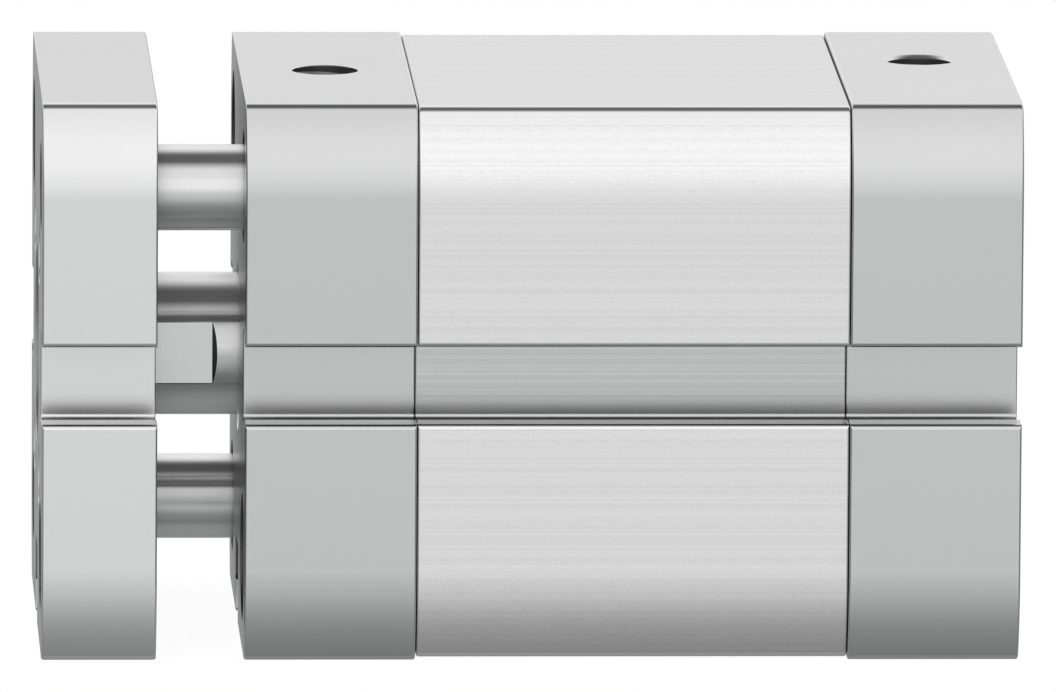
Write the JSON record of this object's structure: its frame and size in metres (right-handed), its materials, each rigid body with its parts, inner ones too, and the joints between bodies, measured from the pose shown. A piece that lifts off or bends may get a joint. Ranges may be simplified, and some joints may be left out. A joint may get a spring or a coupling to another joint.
{
  "type": "guided compact pneumatic cylinder",
  "caption": "Double-acting compact pneumatic cylinder with a square aluminium body, sensor grooves and a yoke plate on a piston rod and guide rods that slides out to push or lift a load.",
  "frame": {"origin": "centre of the end cap's rear face, on the cylinder's axis", "axes": "+X along the axis, out of the end cap; the rod comes out towards -X; +Z out of the ports' face"},
  "size_m": [0.0681, 0.0392, 0.0392],
  "materials": {
    "anodised_aluminium": "satin, bright anodised",
    "extruded_aluminium": "satin, anodised, with fine lines along the axis",
    "chromed_steel": "hard chromed and ground",
    "plated_steel": "zinc plated",
    "piston_aluminium": "turned, plain",
    "bearing_bronze": "sintered, oiled",
    "seal_rubber": "moulded, matt",
    "magnet_compound": "plastic-bonded magnet, matt",
    "guide_plastic": "filled plastic band, matt"
  },
  "bodies": {
    "cylinder": {"cylinder_barrel": "extruded_aluminium", "bearing_cap": "anodised_aluminium", "end_cap": "anodised_aluminium", "rod_bush": "bearing_bronze", "rod_seal": "seal_rubber", "bearing_cap_ring_seal": "seal_rubber", "end_cap_ring_seal": "seal_rubber", "front_collar_screws": "plated_steel", "rear_collar_screws": "plated_steel", "guide_bush_upper": "bearing_bronze", "guide_bush_lower": "bearing_bronze"},
    "yoke": {"yoke_plate": "anodised_aluminium", "piston_rod": "chromed_steel", "guide_rod_upper": "chromed_steel", "guide_rod_lower": "chromed_steel", "yoke_centre_screw": "plated_steel", "guide_rod_screws": "plated_steel", "piston": "piston_aluminium", "piston_screw": "plated_steel", "piston_ring_seal": "seal_rubber", "piston_magnet": "magnet_compound", "piston_guide_ring": "guide_plastic", "front_piston_seal": "seal_rubber", "rear_piston_seal": "seal_rubber", "front_bumper": "seal_rubber", "rear_bumper": "seal_rubber"}
  },
  "joints": [
    {"name": "rod_slide", "type": "slide", "parent": "cylinder", "child": "yoke", "axis": [-1, 0, 0], "range_m": [0, 0.015]}
  ]
}
